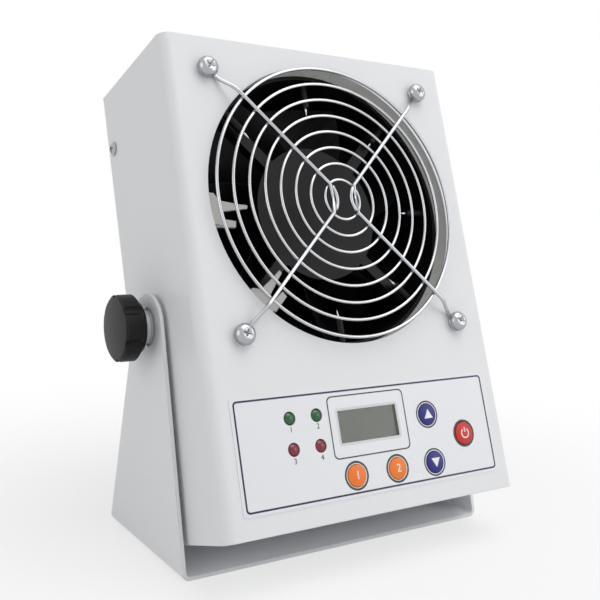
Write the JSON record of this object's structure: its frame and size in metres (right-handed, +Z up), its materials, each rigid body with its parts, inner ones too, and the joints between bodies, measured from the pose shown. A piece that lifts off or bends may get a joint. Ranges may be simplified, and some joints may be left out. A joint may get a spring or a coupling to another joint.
{
  "type": "ionizing blower",
  "caption": "Bench ionizing blower: fan and needle emitters in a folded steel housing with a wire guard and key panel, tilting in a U-shaped stand with clamp knobs.",
  "frame": {"origin": "on the bench, straight under the tilt axis and midway between the stand's arms", "axes": "+Z up; the air outlet and the panel face -Y, leaning back 19 degrees at rest; +X to the right of a person facing the panel"},
  "size_m": [0.175, 0.1229, 0.2032],
  "materials": {
    "painted_sheet": "fine-grained satin powder coat",
    "bright_wire": "bright plated wire",
    "plated_screws": "bright nickel plate",
    "zinc_steel": "zinc-plated or ground steel",
    "needle_steel": "polished steel",
    "magnet_steel": "dull laminated steel",
    "filter_foam": "open-cell foam",
    "windings": "enamelled copper wire",
    "black_plastic": "black glass-filled plastic",
    "knob_plastic": "black nylon, lightly grained",
    "white_plastic": "plain white nylon",
    "panel_film": "printed polycarbonate film, satin",
    "display_pane": "clear film",
    "display": "dark frame with a grey-green glass",
    "green_lamp": "tinted translucent lens",
    "red_lamp": "tinted translucent lens",
    "red_key": "moulded plastic with a pale symbol",
    "blue_keys": "moulded plastic with a pale symbol",
    "orange_keys": "moulded plastic with a pale number",
    "circuit_board": "green solder mask",
    "electronic_parts": "moulded and potted parts",
    "inlet_plastic": "black moulding with a metal centre pin",
    "socket_brass": "turned brass",
    "lead_cover": "insulated leads"
  },
  "bodies": {
    "stand": {"stand_bracket": "painted_sheet"},
    "blower": {"front_cover": "painted_sheet", "rear_cover": "painted_sheet", "cover_screws": "plated_screws", "cover_nuts": "zinc_steel", "front_guard": "bright_wire", "front_guard_screws": "plated_screws", "front_guard_nuts": "zinc_steel", "rear_guard": "bright_wire", "rear_guard_screws": "plated_screws", "rear_guard_nuts": "zinc_steel", "intake_filter": "filter_foam", "outlet_ring": "white_plastic", "emitter_ring": "black_plastic", "emitter_sockets": "black_plastic", "emitter_needles": "needle_steel", "fan_frame": "black_plastic", "fan_bearings": "zinc_steel", "stator_core": "magnet_steel", "stator_coils": "windings", "fan_circuit_board": "circuit_board", "control_overlay": "panel_film", "display_window": "display_pane", "display_module": "display", "green_lamps": "green_lamp", "red_lamps": "red_lamp", "control_board": "circuit_board", "key_switches": "electronic_parts", "board_standoffs": "zinc_steel", "board_screws": "zinc_steel", "high_voltage_module": "electronic_parts", "module_screws": "zinc_steel", "power_board": "circuit_board", "power_board_parts": "electronic_parts", "power_board_feet": "zinc_steel", "power_inlet": "inlet_plastic", "ground_socket": "socket_brass", "wiring": "lead_cover", "pivot_nuts": "zinc_steel", "spacer_washers": "white_plastic"},
    "fan_rotor": {"fan_impeller": "black_plastic", "rotor_magnet": "magnet_steel", "fan_shaft": "zinc_steel"},
    "left_clamp_knob": {"left_knob": "knob_plastic", "left_knob_stud": "zinc_steel", "left_knob_washer": "plated_screws"},
    "right_clamp_knob": {"right_knob": "knob_plastic", "right_knob_stud": "zinc_steel", "right_knob_washer": "plated_screws"},
    "power_key_cap": {"power_key": "red_key"},
    "up_key_cap": {"up_key": "blue_keys"},
    "down_key_cap": {"down_key": "blue_keys"},
    "left_key_cap": {"left_key": "orange_keys"},
    "right_key_cap": {"right_key": "orange_keys"}
  },
  "joints": [
    {"name": "tilt", "type": "hinge", "parent": "stand", "child": "blower", "pos_m": [0, 0, 0.09], "axis": [-1, 0, 0], "range_deg": [-26, 101]},
    {"name": "fan_spin", "type": "hinge", "parent": "blower", "child": "fan_rotor", "pos_m": [0, 0.00673, 0.13104], "axis": [0, 0.9455, -0.3256], "continuous": true},
    {"name": "left_knob_turn", "type": "hinge", "parent": "blower", "child": "left_clamp_knob", "pos_m": [-0.08, 0, 0.09], "axis": [-1, 0, 0], "range_deg": [0, 540]},
    {"name": "right_knob_turn", "type": "hinge", "parent": "blower", "child": "right_clamp_knob", "pos_m": [0.08, 0, 0.09], "axis": [1, 0, 0], "range_deg": [0, 540]},
    {"name": "power_key_press", "type": "slide", "parent": "blower", "child": "power_key_cap", "axis": [0, 0.9455, -0.3256], "range_m": [0, 0.0005], "stiffness_N_per_m": 2500},
    {"name": "up_key_press", "type": "slide", "parent": "blower", "child": "up_key_cap", "axis": [0, 0.9455, -0.3256], "range_m": [0, 0.0005], "stiffness_N_per_m": 2500},
    {"name": "down_key_press", "type": "slide", "parent": "blower", "child": "down_key_cap", "axis": [0, 0.9455, -0.3256], "range_m": [0, 0.0005], "stiffness_N_per_m": 2500},
    {"name": "left_key_press", "type": "slide", "parent": "blower", "child": "left_key_cap", "axis": [0, 0.9455, -0.3256], "range_m": [0, 0.0005], "stiffness_N_per_m": 2500},
    {"name": "right_key_press", "type": "slide", "parent": "blower", "child": "right_key_cap", "axis": [0, 0.9455, -0.3256], "range_m": [0, 0.0005], "stiffness_N_per_m": 2500}
  ]
}
